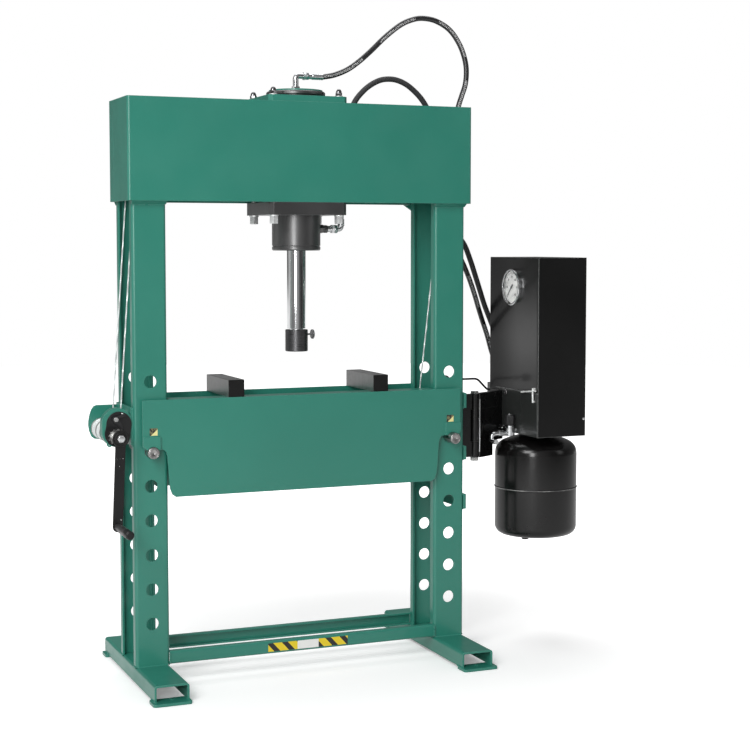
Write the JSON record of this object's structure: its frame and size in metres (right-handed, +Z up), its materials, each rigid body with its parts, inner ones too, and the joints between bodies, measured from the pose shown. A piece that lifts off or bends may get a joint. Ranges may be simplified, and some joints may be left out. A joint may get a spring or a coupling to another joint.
{
  "type": "workshop press",
  "caption": "Floor-standing electro-hydraulic workshop press: H-frame with head cylinder, pinned lifting bed with hand winch, and a swinging power unit with gauge and tank.",
  "frame": {"origin": "on the floor, at the centre of the rectangle of the foot anchor holes, midway between the columns", "axes": "+Z up along the columns, +X to the right towards the power unit, +Y to the back"},
  "size_m": [1.572, 0.633, 1.9646],
  "materials": {
    "green_paint": "glossy enamel over welded steel plate",
    "black_paint": "semi-gloss black enamel",
    "gloss_black": "gloss black powder coat",
    "zinc_steel": "bright zinc-plated steel",
    "mill_steel": "bare steel, sawn and ground",
    "chrome": "polished chrome plating",
    "black_plastic": "moulded black plastic",
    "wire_rope": "galvanised wire strand",
    "hose_rubber": "smooth black hydraulic hose cover",
    "hose_fitting": "plated crimped ferrule",
    "glass": "clear flat glass",
    "needle_black": "matt black",
    "dial_white": "white printed dial",
    "motor_grey": "grey painted casting",
    "tape_yellow": "yellow hazard tape",
    "tape_black": "black stripes of the hazard tape",
    "label_white": "blank white panel",
    "weld": "painted weld bead"
  },
  "bodies": {
    "frame": {"head_front_plate": "green_paint", "head_rear_plate": "green_paint", "head_ribs": "green_paint", "head_packers": "green_paint", "cylinder_top_plate": "green_paint", "column_front_left": "green_paint", "column_front_right": "green_paint", "column_rear_left": "green_paint", "column_rear_right": "green_paint", "foot_left": "green_paint", "foot_right": "green_paint", "rail_front": "green_paint", "rail_rear": "green_paint", "side_ties": "green_paint", "cylinder_flange": "black_paint", "tie_bolts": "zinc_steel", "cylinder_barrel": "black_paint", "lock_ring": "black_paint", "cylinder_cap": "green_paint", "top_fitting": "chrome", "side_fitting": "chrome", "winch_frame": "green_paint", "winch_cover": "black_paint", "pulley_axles": "zinc_steel", "rope_runs": "wire_rope", "rope_falls": "wire_rope", "hinge_bracket": "black_paint", "hinge_pin": "chrome", "hose_pressure": "hose_rubber", "hose_return": "hose_rubber"},
    "ram": {"ram_rod": "chrome", "press_head": "mill_steel"},
    "thumb": {"thumb_screw": "zinc_steel"},
    "bed": {"bed_front": "green_paint", "bed_rear": "green_paint", "bed_cross": "green_paint", "press_blocks": "mill_steel"},
    "pin_l": {"pin_left": "zinc_steel"},
    "pin_r": {"pin_right": "zinc_steel"},
    "drum": {"winch_drum": "zinc_steel", "rope_coils": "wire_rope"},
    "crank": {"crank_shaft": "zinc_steel", "crank_arm": "black_paint"},
    "grip": {"crank_grip": "black_plastic"},
    "pawl": {"pawl": "zinc_steel"},
    "sheave_l": {"pulley_left": "zinc_steel"},
    "sheave_r": {"pulley_right": "zinc_steel"},
    "unit": {"swing_arm": "black_paint", "box_cover": "gloss_black", "box_back": "gloss_black", "gauge_case": "chrome", "gauge_glass": "glass", "motor_pump": "motor_grey", "tank": "gloss_black", "valve_block": "chrome", "directional_valve": "black_paint"},
    "needle": {"gauge_needle": "needle_black"},
    "knob": {"relief_knob": "black_plastic"},
    "lever": {"valve_lever": "black_paint"}
  },
  "joints": [
    {"name": "ram_slide", "type": "slide", "parent": "frame", "child": "ram", "axis": [0, 0, 1], "range_m": [-0.08, 0.21]},
    {"name": "thumb_turn", "type": "hinge", "parent": "ram", "child": "thumb", "pos_m": [0.05, 0, 0.998], "axis": [1, 0, 0], "range_deg": [-180, 180]},
    {"name": "bed_lift", "type": "slide", "parent": "frame", "child": "bed", "axis": [0, 0, 1], "range_m": [0, 0.2079], "deforming": ["rope_falls"]},
    {"name": "pin_left_slide", "type": "slide", "parent": "frame", "child": "pin_l", "axis": [0, -1, 0], "range_m": [0, 0.25]},
    {"name": "pin_right_slide", "type": "slide", "parent": "frame", "child": "pin_r", "axis": [0, -1, 0], "range_m": [0, 0.25]},
    {"name": "drum_turn", "type": "hinge", "parent": "frame", "child": "drum", "pos_m": [-0.57864, 0, 0.73413], "axis": [0, 1, 0], "range_deg": [0, 426]},
    {"name": "crank_turn", "type": "hinge", "parent": "frame", "child": "crank", "pos_m": [-0.5685, -0.1, 0.725], "axis": [0, 1, 0], "range_deg": [0, 1171]},
    {"name": "grip_spin", "type": "hinge", "parent": "crank", "child": "grip", "pos_m": [-0.57984, -0.2, 0.47526], "axis": [0, 1, 0], "continuous": true},
    {"name": "pawl_tilt", "type": "hinge", "parent": "frame", "child": "pawl", "pos_m": [-0.5725, -0.095, 0.775], "axis": [0, 1, 0], "range_deg": [0, 10]},
    {"name": "sheave_left_turn", "type": "hinge", "parent": "frame", "child": "sheave_l", "pos_m": [-0.456, 0, 1.56], "axis": [0, 1, 0], "range_deg": [-446, 0]},
    {"name": "sheave_right_turn", "type": "hinge", "parent": "frame", "child": "sheave_r", "pos_m": [0.477, 0.012, 1.56], "axis": [0, 1, 0], "range_deg": [-446, 0]},
    {"name": "unit_swing", "type": "hinge", "parent": "frame", "child": "unit", "pos_m": [0.603, 0, 0.7], "axis": [0, 0, 1], "range_deg": [-60, 40], "deforming": ["hose_pressure", "hose_return"]},
    {"name": "needle_turn", "type": "hinge", "parent": "unit", "child": "needle", "pos_m": [0.7344, 0.005, 1.132], "axis": [-1, 0, 0], "range_deg": [-270, 0]},
    {"name": "knob_turn", "type": "hinge", "parent": "unit", "child": "knob", "pos_m": [0.72, -0.018, 0.7], "axis": [0, 0, 1], "range_deg": [-180, 180]},
    {"name": "lever_tilt", "type": "hinge", "parent": "unit", "child": "lever", "pos_m": [0.745, 0.19, 0.789], "axis": [1, 0, 0], "range_deg": [-12, 12]}
  ],
  "couplings": [
    {"joint": "drum_turn", "follows": "bed_lift", "rad_per_m": 35.714},
    {"joint": "crank_turn", "follows": "bed_lift", "rad_per_m": 98.214},
    {"joint": "sheave_left_turn", "follows": "bed_lift", "rad_per_m": -37.313},
    {"joint": "sheave_right_turn", "follows": "bed_lift", "rad_per_m": -37.313}
  ]
}
